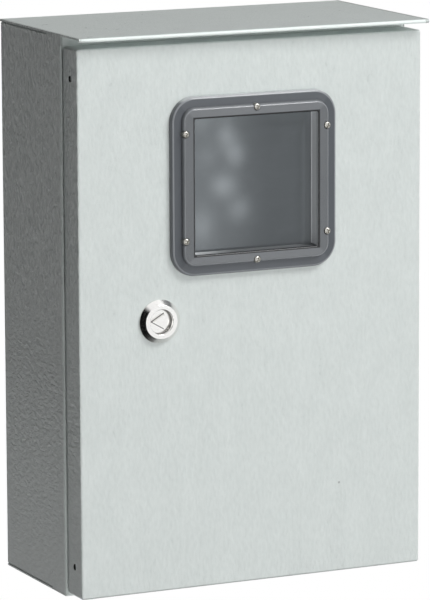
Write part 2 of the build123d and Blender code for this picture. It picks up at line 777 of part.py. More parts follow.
# Top-hat rail for modular devices, with a row of slots
rail_front = plate_front - rail_height + rail_sheet
rail_line = [
    (rail_front, rail_z + rail_width / 2),
    (rail_front, rail_z + rail_channel / 2),
    (plate_front, rail_z + rail_channel / 2),
    (plate_front, rail_z - rail_channel / 2),
    (rail_front, rail_z - rail_channel / 2),
    (rail_front, rail_z - rail_width / 2),
]
rail_outer = rail_bend + rail_sheet
with BuildPart() as device_rail:
    rail_radii = [rail_bend, rail_outer, rail_outer, rail_bend]
    rail_section = folded(Plane.YZ, rail_line, rail_radii, Side.RIGHT, rail_sheet)
    extrude(rail_section, amount=rail_length / 2, both=True)
    with BuildSketch(front(plate_front)):
        with Locations((0, rail_z)):
            with GridLocations(rail_slot_pitch, rail_width, rail_slots, 1):
                SlotOverall(rail_slot_length, rail_slot_width)
    extrude(amount=rail_sheet, mode=Mode.SUBTRACT)
finish(device_rail.part, "device_rail")

with BuildPart() as rail_screws:
    with BuildSketch(front(plate_front - rail_sheet)):
        with Locations(*rail_screws_at):
            Circle(rail_head_radius)
    extrude(amount=rail_head_height)
    fillet(rail_screws.edges().filter_by(GeomType.CIRCLE).group_by(Axis.Y)[0], rail_head_height / 2)
    with BuildSketch(front(plate_front - rail_sheet)):
        with Locations(*rail_screws_at):
            Circle(rail_screw_radius)
    extrude(amount=-(rail_sheet + plate_sheet + screw_tail))
finish(rail_screws.part, "rail_screws")

# Earth stud on the back of the body, with a hexagon collar that the ring terminal sits on
earth_spot = (earth_inset - half_width, z_bottom + earth_height)
with BuildPart() as earth_stud:
    with BuildSketch(front(back_face)):
        with Locations(earth_spot):
            RegularPolygon(nut_width / 2, 6, major_radius=False)
    extrude(amount=earth_collar)
    with BuildSketch(front(back_face - earth_collar)):
        with Locations(earth_spot):
            Circle(stud_radius)
    extrude(amount=earth_length)
finish(earth_stud.part, "earth_stud")

# Earth stud on the door, with a nut
door_earth_spot = (door_half - door_earth_inset, door_low + door_earth_height)
with BuildPart() as door_earth_stud:
    with BuildSketch(front(door_inner)):
        with Locations(door_earth_spot):
            Circle(stud_radius)
    extrude(amount=-door_earth_length)
finish(door_earth_stud.part, "door_earth_stud")
inside_face = Plane(origin=(0, door_inner, 0), x_dir=(-1, 0, 0), z_dir=(0, 1, 0))
door_nut_spot = (-door_earth_spot[0], door_earth_spot[1])
finish(flange_nut(inside_face, [door_nut_spot], stud_radius + fixed_fit), "door_earth_nut")
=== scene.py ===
import bpy
import bmesh
import json
import math
import numpy as np
from mathutils import Matrix, Vector


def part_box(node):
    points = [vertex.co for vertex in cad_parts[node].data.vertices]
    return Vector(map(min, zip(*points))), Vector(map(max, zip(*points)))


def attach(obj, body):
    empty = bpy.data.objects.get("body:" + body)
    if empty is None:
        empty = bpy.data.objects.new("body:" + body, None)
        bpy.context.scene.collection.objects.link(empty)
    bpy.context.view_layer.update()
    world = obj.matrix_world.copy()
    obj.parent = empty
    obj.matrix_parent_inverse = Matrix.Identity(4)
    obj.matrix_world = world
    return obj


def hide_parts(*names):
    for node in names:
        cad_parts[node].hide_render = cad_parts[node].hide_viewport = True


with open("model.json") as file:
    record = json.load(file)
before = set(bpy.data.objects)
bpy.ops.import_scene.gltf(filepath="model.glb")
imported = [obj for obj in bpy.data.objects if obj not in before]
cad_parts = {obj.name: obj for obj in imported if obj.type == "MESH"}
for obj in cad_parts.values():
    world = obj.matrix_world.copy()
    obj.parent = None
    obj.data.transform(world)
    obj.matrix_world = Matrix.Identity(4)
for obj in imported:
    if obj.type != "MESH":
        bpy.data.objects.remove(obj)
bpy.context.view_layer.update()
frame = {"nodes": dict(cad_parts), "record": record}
nodes = frame["nodes"]
slotOf = {part["node"]: part["material_slot"] for part in frame["record"]["subparts"]}
mm = 0.001
print("frame loaded:", len(nodes), "nodes")


# camera: the photograph's own viewpoint, angles in degrees, lengths in mm
photoView = {
    "lookAt": (12.824, -75.0, -7.116),
    "azimuth": -25.451,
    "elevation": 10.023,
    "roll": -0.232,
    "distance": 3485.8,
    "lens": 260.07,
    "sensor": 36.0,
    "shift": (-0.01997, 0.0033),
    "clipEnd": 50.0,  # in metres
}


def placeCamera(plan):
    turn, lift, roll = (math.radians(plan[k]) for k in ("azimuth", "elevation", "roll"))
    back = np.array([math.sin(turn) * math.cos(lift), -math.cos(turn) * math.cos(lift), math.sin(lift)])
    right = np.cross(-back, [0, 0, 1])
    right /= np.linalg.norm(right)
    up = np.cross(right, -back)
    spot = (np.array(plan["lookAt"]) + back * plan["distance"]) * mm
    turned = np.eye(4)
    turned[:3, 0] = right * math.cos(roll) + up * math.sin(roll)
    turned[:3, 1] = up * math.cos(roll) - right * math.sin(roll)
    turned[:3, 2] = back
    turned[:3, 3] = spot
    data = bpy.data.cameras.new("photoCamera")
    data.sensor_fit = "VERTICAL"
    data.sensor_height = plan["sensor"]
    data.lens = plan["lens"]
    data.shift_x, data.shift_y = plan["shift"]
    data.clip_end = plan["clipEnd"]
    camera = bpy.data.objects.new("photoCamera", data)
    bpy.context.scene.collection.objects.link(camera)
    camera.matrix_world = Matrix(turned.tolist())
    bpy.context.scene.camera = camera


placeCamera(photoView)
bpy.context.scene.view_settings.view_transform = "Standard"
print("camera placed")


class Wire:
    # a socket in a node tree: arithmetic on it adds Math nodes, and node() adds any other node
    def __init__(self, tree, socket=None):
        self.tree = tree
        self.socket = socket

    def node(self, kind, settings=None, feeds=None, out=0):
        made = self.tree.nodes.new(kind)
        for key, value in (settings or {}).items():
            setattr(made, key, value)
        for key, value in (feeds or {}).items():
            if isinstance(value, Wire):
                self.tree.links.new(value.socket, made.inputs[key])
            else:
                made.inputs[key].default_value = value
        return Wire(self.tree, made.outputs[out])

    def math(self, operation, first, second=None, clamp=False):
        feeds = {0: first} if second is None else {0: first, 1: second}
        return self.node("ShaderNodeMath", {"operation": operation, "use_clamp": clamp}, feeds)

    def __add__(self, other):
        return self.math("ADD", self, other)

    def __sub__(self, other):
        return self.math("SUBTRACT", self, other)

    def __rsub__(self, other):
        return self.math("SUBTRACT", other, self)

    def __mul__(self, other):
        return self.math("MULTIPLY", self, other)

    def __truediv__(self, other):
        return self.math("DIVIDE", self, other)

    def __pow__(self, other):
        return self.math("POWER", self, other)

    def __rpow__(self, other):
        return self.math("POWER", other, self)

    __radd__ = __add__
    __rmul__ = __mul__

    def clamped(self):
        return self.math("ADD", self, 0.0, clamp=True)

    def above(self, low, high):  # 0 below low, 1 above high, smooth between
        settings = {"interpolation_type": "SMOOTHSTEP"}
        return self.node("ShaderNodeMapRange", settings, {0: self, 1: low, 2: high, 3: 0.0, 4: 1.0})

    def below(self, low, high):  # 1 below low, 0 above high
        return 1.0 - self.above(low, high)

    def between(self, first, second):  # this value mixes two colours
        settings = {"data_type": "RGBA"}
        return self.node("ShaderNodeMix", settings, {0: self, 6: first, 7: second}, out=2)

    def noise(self, scale, detail=2.0, roughness=0.5, distortion=0.0):
        feeds = {"Vector": self, "Scale": scale, "Detail": detail, "Roughness": roughness}
        feeds["Distortion"] = distortion
        return self.node("ShaderNodeTexNoise", {"noise_dimensions": "3D"}, feeds)

    def cells(self, scale, out):  # nearest cell: distance to its middle, or its colour
        return self.node("ShaderNodeTexVoronoi", {"feature": "F1"}, {"Vector": self, "Scale": scale}, out)

    def stretched(self, scale):
        return self.node("ShaderNodeMapping", None, {0: self, 3: scale})

    def parts(self):  # the three numbers of a place
        split = self.node("ShaderNodeSeparateXYZ", None, {0: self}).socket.node
        return [Wire(self.tree, out) for out in split.outputs]

    def size(self):
        return self.math("ABSOLUTE", self)

    def larger(self, other):
        return self.math("MAXIMUM", self, other)

    def span(self, other):  # length of two offsets at right angles
        return (self ** 2.0 + other ** 2.0) ** 0.5

    def bump(self, strength, distance):
        feeds = {"Strength": strength, "Distance": distance, "Height": self}
        return self.node("ShaderNodeBump", None, feeds)


def grey(*shade):  # linear colour from 0-255 screen values
    screen = np.array(shade) / 255
    linear = np.where(screen <= 0.04045, screen / 12.92, ((screen + 0.055) / 1.055) ** 2.4)
    return tuple(float(v) for v in linear) + (1.0,)


def newLook(name, fixed):
    look = bpy.data.materials.new(name)
    look.use_nodes = True
    tree = look.node_tree
    shader = tree.nodes["Principled BSDF"]
    for key, value in fixed.items():
        shader.inputs[key].default_value = value
    here = Wire(tree).node("ShaderNodeTexCoord", out="Object")

    def feed(key, wire):
        tree.links.new(wire.socket, shader.inputs[key])

    return look, here, feed


looks = {}  # places and depths in their plans are in metres

# light grey powder coat: orange-peel skin on the front; on the sides a coarser relief that runs upright,
# turns level low down, with painted shade making them darker above; faint drift and fine specks on all;
# painted highlights on the walls' front bend and the canopy's hem, painted light under the canopy, painted
# shade along the door's bottom edge and in the edges of the two spare holes; dark bare metal at one small
# chip low on the door
paintPlan = {
    "dark": grey(198, 205, 203),
    "light": grey(221, 227, 225),
    # painted light: the colour of the painted highlights on the front bend and hem, and of the lifted shade
    # under the canopy
    "paintedLight": grey(243, 252, 249),
    # bare metal at the chip, and the colour of the painted shade in the spare holes, on the upper side walls
    # and along the door's bottom edge
    "bareAndShade": grey(22, 22, 23),
    "roughness": 0.3,
    "roughnessSpread": 0.08,
    "skinStretch": (1.0, 1.0, 0.5),
    "peel": {"scale": 330.0, "tone": 0.6, "relief": 0.25},
    "drift": {"scale": 60.0, "tone": 0.55},
    "speck": {"scale": 2400.0, "tone": 0.14, "relief": 0.1},
    "upright": {"stretch": (2.75, 1.1, 0.5), "scale": 330.0, "tone": 4.2, "relief": 1.25},
    "level": {"stretch": (2.75, 0.55, 0.95), "scale": 330.0, "tone": 2.4, "relief": 0.72},
    "swirl": 0.5,
    "levelBelow": (-0.07, 0.06),
    "calmBelow": (-0.2, -0.085),
    "calmShare": 0.38,
    "sideTone": 0.3,
    "toneDrop": 0.15,
    "reliefDepth": 0.0018,
    "sideWall": (0.1480, 0.1488),
    # painted shade: the side walls darker towards the top, more on the body's wall than on the door's return
    "upperShade": {"return": 0.04, "wall": 0.18, "fade": (-0.16, -0.03)},
    "shelter": {"low": (0.2127, 0.2131), "high": (0.2215, 0.2219), "from": (-0.150, -0.134), "share": 0.85},
    "bend": {"reach": (0.140, 0.142), "front": (-0.1236, -0.1233), "back": (-0.1195, -0.1150), "share": 0.6},
    # painted shade along the door's bottom edge
    "lowEdge": {"top": (-0.2192, -0.2180), "front": (-0.1470, -0.1460), "share": 0.32},
    "hem": {"front": (-0.1586, -0.1578), "low": (0.2206, 0.2212)},
    "spareHoles": [(-0.1356, 0.1892), (-0.1356, -0.1957)],
    "holeReach": (0.00252, 0.00262),
    "holeSide": (-0.1480, -0.1475),
    "chip": {"spot": (0.0763, -0.1471), "reach": (0.0007, 0.0012), "front": (-0.1488, -0.1484), "share": 0.4},
}


def paintLook(plan):
    look, here, feed = newLook("powderCoat", {"Specular IOR Level": 0.45, "IOR": 1.48})
    x, y, z = here.parts()
    skin = here.stretched(plan["skinStretch"])
    peel = skin.noise(plan["peel"]["scale"])
    drift = skin.noise(plan["drift"]["scale"], detail=4.0, roughness=0.6)
    speck = here.noise(plan["speck"]["scale"], detail=1.0)
    upright, level = (
        here.stretched(run["stretch"]).noise(run["scale"], distortion=plan["swirl"])
        for run in (plan["upright"], plan["level"])
    )
    side = x.size().above(*plan["sideWall"])
    low = z.below(*plan["levelBelow"])
    calm = plan["calmShare"] + z.above(*plan["calmBelow"]) * (1.0 - plan["calmShare"])

    def ofSides(key, high, deep):  # upright run above, level run below
        return high * plan["upright"][key] * (1.0 - low) + deep * plan["level"][key] * low

    mottle = peel * plan["peel"]["tone"] * (1.0 - side)
    mottle = mottle + (ofSides("tone", upright - 0.5, level - 0.5) * calm + plan["sideTone"]) * side
    shade = drift * plan["drift"]["tone"] + mottle + speck * plan["speck"]["tone"] - plan["toneDrop"]
    relief = peel * plan["peel"]["relief"] * (1.0 - side) + ofSides("relief", upright, level) * calm * side
    relief = relief + speck * plan["speck"]["relief"]

    shelter, bend, hem, lowEdge = (plan[key] for key in ("shelter", "bend", "hem", "lowEdge"))
    # painted light under the canopy where shade falls, painted highlights on the walls' front bend and on the
    # hem
    covered = z.above(*shelter["low"]) * z.below(*shelter["high"]) * (1.0 - side) * x.above(*shelter["from"])
    paintedHighlight = x.size().above(*bend["reach"]) * y.above(*bend["front"]) * y.below(*bend["back"])
    paintedHighlight = paintedHighlight * z.below(*shelter["low"])
    folded = y.below(*hem["front"]) * z.above(*hem["low"])
    paintedLight = (covered * shelter["share"] + paintedHighlight * bend["share"] + folded).clamped()
    coat = paintedLight.between(shade.clamped().between(plan["dark"], plan["light"]), plan["paintedLight"])

    # painted shade in the edges of the two spare holes
    holes = 0.0
    for depth, up in plan["spareHoles"]:
        holes = holes + (y - depth).span(z - up).below(*plan["holeReach"])
    holes = holes * x.below(*plan["holeSide"])
    chip, upperShade = plan["chip"], plan["upperShade"]
    chipped = (x - chip["spot"][0]).span(z - chip["spot"][1]).below(*chip["reach"])
    chipped = chipped * y.below(*chip["front"]) * chip["share"]
    # painted shade on the upper side walls
    upperShaded = upperShade["return"] + y.above(*bend["front"]) * (upperShade["wall"] - upperShade["return"])
    upperShaded = upperShaded * side * z.above(*upperShade["fade"])
    # painted shade along the door's bottom edge
    dull = z.below(*lowEdge["top"]) * y.below(*lowEdge["front"]) * lowEdge["share"]
    feed("Base Color", (holes + chipped + upperShaded + dull).between(coat, plan["bareAndShade"]))
    feed("Roughness", plan["roughness"] + (peel + drift - 1.0) * plan["roughnessSpread"])
    feed("Normal", relief.bump(1.0, plan["reliefDepth"]))
    return look


looks["paint"] = paintLook(paintPlan)

# moulded dark grey bezel with fine grain: satin raised band, darker outer rim; painted highlights on its
# edges, level runs and outer flank, and a brighter painted highlight along the top; a painted shadow line
# round the lip of its opening, whose walls are painted dark as shade but for the right one, painted pale as
# light
bezelPlan = {
    "rim": (grey(71, 75, 80), grey(81, 85, 90)),
    "band": (grey(93, 96, 99), grey(103, 106, 109)),
    # painted highlight: the colour of the bezel's painted highlights and sheen
    "paintedHighlight": grey(158, 161, 165),
    "paintedTopHighlight": grey(205, 208, 210),
    # painted shade: the line round the opening's lip and the opening's walls
    "gap": grey(24, 25, 27),
    # painted light on the opening's right wall
    "inner": grey(205, 208, 210),
    "flank": grey(106, 109, 113),
    "centre": 0.1012,
    "rimFront": -0.154,
    "rimEdge": (-0.0005, -0.0001),
    "rimFade": (0.0006, 0.0013),
    "bandFront": -0.158,
    "bandEdge": (0.0003, 0.0008),
    "bandFade": (0.001, 0.0036),
    "edgeFrom": (0.00003, 0.0002),
    "edgeShare": 0.7,
    "edgeGloss": 0.14,
    "flankFrom": (0.0008, 0.0016),
    "crownDepth": (0.0003, 0.0012),
    "crownFrom": (0.0655, 0.0685),
    "crownShare": 0.8,
    "levelTurn": (-0.002, 0.002),
    "levelShare": {"band": 0.17, "rim": 0.08},
    "openHalf": 0.0536,
    "lipReach": (0.0011, 0.0016),
    "innerReach": (0.0002, 0.0004),
    "rightWall": (0.0526, 0.0531),
    "grain": {"scale": 1500.0, "tone": 0.3, "dull": 0.2, "bump": (0.35, 0.00006)},
    "drift": {"scale": 22.0, "tone": 0.7, "dull": 0.08},
    "roughness": (0.3, 0.38),
}


def bezelLook(plan):
    look, here, feed = newLook("bezelPlastic", {"Specular IOR Level": 0.5, "IOR": 1.5})
    x, y, z = here.parts()
    up = z - plan["centre"]
    behindRim, behindBand = y - plan["rimFront"], y - plan["bandFront"]
    rim = behindRim.above(*plan["rimEdge"])
    face = behindBand.below(*plan["bandEdge"])
    fromHole = (x.size() - plan["openHalf"]).larger(up.size() - plan["openHalf"])
    # painted shadow line round the opening's lip; the opening's walls painted dark as shade but for the right
    # one, painted pale as light
    lip = fromHole.below(*plan["lipReach"]) * face
    inner = fromHole.below(*plan["innerReach"]) * (1.0 - face)
    # painted highlights on the edges of rim and band, reaching down the band's side wall
    edges = 0.0
    for behind, fade in ((behindRim, plan["rimFade"]), (behindBand, plan["bandFade"])):
        edges = edges + behind.above(*plan["edgeFrom"]) * behind.below(*fade)
    # painted highlight along the top outer rounding
    crown = behindRim.above(*plan["crownDepth"]) * up.above(*plan["crownFrom"])
    grainPlan, driftPlan, levelShare = plan["grain"], plan["drift"], plan["levelShare"]
    grain = here.noise(grainPlan["scale"], detail=3.0, roughness=0.6)
    drift = here.noise(driftPlan["scale"], detail=3.0)
    mottle = drift * driftPlan["tone"] + grain * grainPlan["tone"]
    front = rim.between(mottle.between(*plan["band"]), mottle.between(*plan["rim"]))
    # painted sheen: the level top and bottom runs paler
    level = (up.size() - x.size()).above(*plan["levelTurn"])
    level = level * (levelShare["band"] - rim * (levelShare["band"] - levelShare["rim"]))
    front = level.between(front, plan["paintedHighlight"])
    # painted light on the rim's outer flank
    front = behindRim.above(*plan["flankFrom"]).between(front, plan["flank"])
    wearAndSheen = (edges * plan["edgeShare"]).between(front, plan["paintedHighlight"])
    wearAndSheen = (crown * plan["crownShare"]).between(wearAndSheen, plan["paintedTopHighlight"])
    # the opening's walls: painted shade, with painted light on the right one
    walls = x.above(*plan["rightWall"]).between(plan["gap"], plan["inner"])
    feed("Base Color", lip.between(inner.between(wearAndSheen, walls), plan["gap"]))
    satin, dull = plan["roughness"]
    spread = (grain - 0.5) * grainPlan["dull"] + (drift - 0.5) * driftPlan["dull"]
    feed("Roughness", satin + rim * (dull - satin) - edges * plan["edgeGloss"] + spread)
    feed("Normal", grain.bump(*grainPlan["bump"]))
    return look


looks["bezel"] = bezelLook(bezelPlan)

# smoked clear tray: glossy flat face, slightly wavy, with thin wipe marks; painted light lifts the bezel's
# shadow towards the top and the right; its walls painted pale and opaque as light, the lower one painted dark
# towards the right as shade
panePlan = {
    "tint": grey(83, 87, 90),
    "haze": grey(87, 91, 94),
    # painted light on the tray's walls
    "wall": grey(238, 241, 243),
    # painted shade on the lower wall
    "sill": grey(66, 70, 74),
    # painted light: paler towards the right and the top, lifting the bezel's cast shadow
    "litMargin": grey(114, 119, 122),
    "centre": 0.1012,
    "wallFrom": (0.0529, 0.0535),
    "wallDull": 0.4,
    "sillFrom": (0.0526, 0.0532),
    "sillFade": (-0.065, -0.01),
    "sillShare": 0.85,
    "litMarginRight": (0.0425, 0.0515),
    "litMarginTop": (0.030, 0.048),
    "litMarginTopShare": 0.4,
    "wipe": {"stretch": (1.0, 1.0, 1.6), "scale": 40.0, "haze": (0.4, 0.8), "dull": (0.45, 0.85)},
    "wipeDull": 0.03,
    "waveScale": 26.0,
    "waveBump": (0.25, 0.00006),
    "roughness": 0.02,
    "alpha": 0.9,
}


def paneLook(plan):
    look, here, feed = newLook("smokedPane", {"IOR": 1.5})
    x, z = here.parts()[::2]
    up = z - plan["centre"]
    # the walls, painted pale as light
    wall = x.size().larger(up.size()).above(*plan["wallFrom"])
    wipePlan = plan["wipe"]
    wipe = here.stretched(wipePlan["stretch"])
    wipe = wipe.noise(wipePlan["scale"], detail=4.0, roughness=0.6, distortion=0.6)
    # painted light towards the right and the top, lifting the bezel's cast shadow
    litMargin = x.above(*plan["litMarginRight"]).larger(up.above(*plan["litMarginTop"]) * plan["litMarginTopShare"])
    clear = wipe.above(*wipePlan["haze"]).between(plan["tint"], plan["haze"])
    clear = litMargin.between(clear, plan["litMargin"])
    # painted shade on the lower wall, darker towards the right
    sill = (plan["centre"] - z).above(*plan["sillFrom"]) * x.above(*plan["sillFade"]) * plan["sillShare"]
    feed("Base Color", wall.between(clear, sill.between(plan["wall"], plan["sill"])))
    dull = wipe.above(*wipePlan["dull"]) * plan["wipeDull"] + wall * plan["wallDull"]
    feed("Roughness", plan["roughness"] + dull)
    feed("Alpha", plan["alpha"] + wall * (1.0 - plan["alpha"]))
    feed("Normal", here.noise(plan["waveScale"], detail=1.0).bump(*plan["waveBump"]))
    return look


looks["pane"] = paneLook(panePlan)

# bright plated lock: satin mirror with hairline scuffs; painted shade low on the walls of the key recess,
# along the foot of the key boss and as a soft pool at the right of the recess
chromePlan = {
    "colour": grey(242, 241, 239),
    "wearAndSheen": grey(220, 218, 215),
    # painted shade in the key recess
    "recessShade": grey(42, 42, 41),
    "axis": (-0.0809, -0.00325),
    "recess": (0.0100, 0.0104),
    "keyHalf": 0.0035,
    "keySlant": (-0.5, 0.866),
    "line": {"from": (-0.0003, -0.0001), "to": (0.0002, 0.0005), "depth": (-0.1499, -0.1495)},
    "wall": {"reach": (0.0088, 0.0092), "from": (-0.1531, -0.1500), "to": (-0.1495, -0.1493)},
    "pool": {"reach": (0.0074, 0.0096), "right": (0.001, 0.006), "depth": (-0.1498, -0.1494), "share": 0.2},
    "scuff": {"stretch": (1.0, 1.0, 7.0), "scale": 500.0, "from": (0.56, 0.75), "tone": 0.6, "dull": 0.12},
    "grain": {"scale": 900.0, "tone": 0.2, "dull": 0.08, "bump": (0.06, 0.00003)},
    "coneFrom": (0.0135, 0.0138),
    "coneDull": 0.04,
    "recessShadeDull": 0.2,
    "roughness": 0.11,
}


def chromeLook(plan):
    look, here, feed = newLook("platedLock", {"Metallic": 1.0})
    x, y, z = here.parts()
    across, up = x - plan["axis"][0], z - plan["axis"][1]
    away = across.span(up)
    right, steep = plan["keySlant"]
    slant = across * right + up.size() * steep  # distance square to the key's slanted sides
    beyond = across.larger(slant) - plan["keyHalf"]
    linePlan, wallPlan, poolPlan = plan["line"], plan["wall"], plan["pool"]
    # painted shade: round the foot of the key boss, low on the recess wall and as a pool at its right
    line = beyond.above(*linePlan["from"]) * beyond.below(*linePlan["to"]) * y.above(*linePlan["depth"])
    wall = away.above(*wallPlan["reach"]) * y.above(*wallPlan["from"]) * y.below(*wallPlan["to"])
    pool = away.above(*poolPlan["reach"]) * across.above(*poolPlan["right"]) * y.above(*poolPlan["depth"])
    recessShade = wall.larger(line).larger(pool * poolPlan["share"]) * away.below(*plan["recess"])
    scuffPlan, grainPlan = plan["scuff"], plan["grain"]
    scuff = here.stretched(scuffPlan["stretch"])
    scuff = scuff.noise(scuffPlan["scale"], detail=3.0, roughness=0.6, distortion=0.4)
    scuff = scuff.above(*scuffPlan["from"])
    grain = here.noise(grainPlan["scale"], detail=3.0)
    wearAndSheen = (scuff * scuffPlan["tone"] + grain * grainPlan["tone"]).clamped()
    feed("Base Color", recessShade.between(wearAndSheen.between(plan["colour"], plan["wearAndSheen"]), plan["recessShade"]))
    dull = scuff * scuffPlan["dull"] + (grain - 0.5) * grainPlan["dull"] + recessShade * plan["recessShadeDull"]
    feed("Roughness", plan["roughness"] + away.above(*plan["coneFrom"]) * plan["coneDull"] + dull)
    feed("Normal", grain.bump(*grainPlan["bump"]))
    return look


looks["lock_chrome"] = chromeLook(chromePlan)

# galvanised sheet: crystal spangle with rolled streaks
spanglePlan = {
    "dark": grey(150, 154, 158),
    "light": grey(198, 202, 205),
    "cells": {"scale": 135.0, "tone": 0.65, "dull": 0.18, "relief": 0.5},
    "streak": {"stretch": (1.0, 1.0, 0.06), "scale": 700.0, "tone": 0.25, "gloss": 0.1},
    "warp": {"scale": 60.0, "tone": 0.2},
    "bump": (0.15, 0.00004),
    "roughness": 0.38,
}


def spangleLook(plan):
    look, here, feed = newLook("zincSpangle", {"Metallic": 1.0})
    cellPlan, streakPlan, warpPlan = plan["cells"], plan["streak"], plan["warp"]
    warp = here.noise(warpPlan["scale"])
    cells = here.cells(cellPlan["scale"], "Color")
    tone = cells.node("ShaderNodeRGBToBW", None, {0: cells})
    streak = here.stretched(streakPlan["stretch"]).noise(streakPlan["scale"])
    shade = tone * cellPlan["tone"] + streak * streakPlan["tone"] + warp * warpPlan["tone"]
    feed("Base Color", shade.clamped().between(plan["dark"], plan["light"]))
    feed("Roughness", plan["roughness"] + tone * cellPlan["dull"] - streak * streakPlan["gloss"])
    feed("Normal", (streak + tone * cellPlan["relief"]).bump(*plan["bump"]))
    return look


looks["zinc_sheet"] = spangleLook(spanglePlan)

# bright zinc-plated fixings: warm tint, blurred sheen, slight bloom
fixingPlan = {
    "clean": grey(198, 196, 190),
    "bloom": grey(166, 164, 156),
    "bloomScale": 210.0,
    "bloomFrom": (0.42, 0.72),
    "bloomDull": 0.2,
    "grainScale": 1600.0,
    "grainDull": 0.1,
    "bump": (0.2, 0.00003),
    "roughness": 0.28,
}


def fixingLook(plan):
    look, here, feed = newLook("zincPlate", {"Metallic": 1.0})
    bloom = here.noise(plan["bloomScale"], detail=4.0, roughness=0.6).above(*plan["bloomFrom"])
    grain = here.noise(plan["grainScale"])
    feed("Base Color", bloom.between(plan["clean"], plan["bloom"]))
    feed("Roughness", plan["roughness"] + bloom * plan["bloomDull"] + (grain - 0.5) * plan["grainDull"])
    feed("Normal", grain.bump(*plan["bump"]))
    return look


looks["zinc_fixings"] = fixingLook(fixingPlan)

# black rubber: matt with mould bloom
rubberPlan = {
    "dark": grey(30, 31, 32),
    "bloom": grey(58, 59, 60),
    "bloomScale": 130.0,
    "bloomFrom": (0.4, 0.8),
    "grainScale": 1800.0,
    "grainDull": 0.25,
    "bump": (0.3, 0.00006),
    "roughness": 0.62,
}


def rubberLook(plan):
    look, here, feed = newLook("blackRubber", {"Specular IOR Level": 0.4})
    bloom = here.noise(plan["bloomScale"], detail=4.0, roughness=0.6).above(*plan["bloomFrom"])
    grain = here.noise(plan["grainScale"])
    feed("Base Color", bloom.between(plan["dark"], plan["bloom"]))
    feed("Roughness", plan["roughness"] + (grain - 0.5) * plan["grainDull"])
    feed("Normal", grain.bump(*plan["bump"]))
    return look


looks["rubber"] = rubberLook(rubberPlan)

# foamed-in-place seal: dark skin over closed cells
foamPlan = {
    "dark": grey(38, 39, 41),
    "light": grey(74, 75, 77),
    "cellScale": 1150.0,
    "poreFrom": (0.15, 0.6),
    "poreTone": 0.6,
    "drift": {"scale": 150.0, "tone": 0.4, "gloss": 0.1, "relief": 0.5},
    "bump": (0.6, 0.0002),
    "roughness": 0.85,
}


def foamLook(plan):
    look, here, feed = newLook("sealFoam", {"Specular IOR Level": 0.25})
    driftPlan = plan["drift"]
    pores = here.cells(plan["cellScale"], "Distance").above(*plan["poreFrom"])
    drift = here.noise(driftPlan["scale"], detail=3.0)
    shade = pores * plan["poreTone"] + drift * driftPlan["tone"]
    feed("Base Color", shade.between(plan["dark"], plan["light"]))
    feed("Roughness", plan["roughness"] - drift * driftPlan["gloss"])
    feed("Normal", (pores + drift * driftPlan["relief"]).bump(*plan["bump"]))
    return look


looks["foam"] = foamLook(foamPlan)

# nylon hinge washers: waxy off-white
washerPlan = {
    "pale": grey(222, 220, 210),
    "aged": grey(198, 194, 180),
    "driftScale": 300.0,
    "driftDull": 0.15,
    "grainScale": 1500.0,
    "bump": (0.1, 0.00003),
    "roughness": 0.4,
}


def washerLook(plan):
    look, here, feed = newLook("nylonWasher", {"Specular IOR Level": 0.45})
    drift = here.noise(plan["driftScale"], detail=3.0)
    feed("Base Color", drift.between(plan["pale"], plan["aged"]))
    feed("Roughness", plan["roughness"] + drift * plan["driftDull"])
    feed("Normal", here.noise(plan["grainScale"]).bump(*plan["bump"]))
    return look


looks["washer"] = washerLook(washerPlan)

for name, thing in nodes.items():
    thing.data.materials.clear()
    thing.data.materials.append(looks[slotOf[name]])
print("finishes on", len(nodes), "nodes")


def gridFaces(rows, cols, closed=True):
    # quads between neighbouring rows of a grid; a closed grid joins its last column to its first
    step = np.arange(rows - 1)[:, None] * cols
    near = np.arange(cols if closed else cols - 1)[None, :]
    after = (near + 1) % cols
    return np.stack([step + near, step + after, step + cols + after, step + cols + near], -1).reshape(-1, 4)


def meshPiece(name, verts, quads):
    mesh = bpy.data.meshes.new(name)
    mesh.vertices.add(len(verts))
    mesh.vertices.foreach_set("co", np.ascontiguousarray(verts, np.float32).ravel())
    mesh.loops.add(quads.size)
    mesh.loops.foreach_set("vertex_index", np.ascontiguousarray(quads, np.int32).ravel())
    mesh.polygons.add(len(quads))
    mesh.polygons.foreach_set("loop_start", np.arange(0, quads.size, 4, dtype=np.int32))
    mesh.update(calc_edges=True)
    piece = bpy.data.objects.new(name, mesh)
    bpy.context.scene.collection.objects.link(piece)
    return piece


def column(*values):
    return np.array(values, float)[:, None]


def stacked(rows, cols):  # rows of one value or of a full turn, one above the other
    return np.concatenate([np.broadcast_to(row, (len(row), cols)) for row in rows])


def turnAngles(cols):
    return np.arange(cols)[None, :] * (2 * np.pi / cols)


def spun(radius, height, spot, axis, cols):
    # points at a radius from an axis and a height along it, for each angle of a full turn
    axis = np.array(axis, float)
    side = np.array([0.0, 0.0, 1.0]) if abs(axis[0]) > 0.5 else np.array([1.0, 0.0, 0.0])
    third = np.cross(axis, side)
    angle = turnAngles(cols)[0]
    out = np.cos(angle)[:, None] * side + np.sin(angle)[:, None] * third
    radius, height = (np.broadcast_to(a, (len(radius), cols))[..., None] for a in (radius, height))
    return np.array(spot) + radius * out[None] + height * axis


def rounded(points, radius, steps=5, mostOfEdge=0.45):
    # each corner gives way to a curve that starts and ends a short way along its two edges:
    # (1-t)^2 start + 2t(1-t) corner + t^2 end
    points = np.array(points, float)
    corner = points[1:-1]
    before, after = points[:-2] - corner, points[2:] - corner
    beforeLong, afterLong = (np.linalg.norm(edge, axis=1)[:, None] for edge in (before, after))
    reach = np.minimum(radius, mostOfEdge * np.minimum(beforeLong, afterLong))
    start = corner + before / beforeLong * reach
    end = corner + after / afterLong * reach
    t = np.linspace(0, 1, steps)[None, :, None]
    curve = (1 - t) ** 2 * start[:, None] + 2 * t * (1 - t) * corner[:, None] + t ** 2 * end[:, None]
    return np.concatenate([points[:1], curve.reshape(-1, 2), points[-1:]])


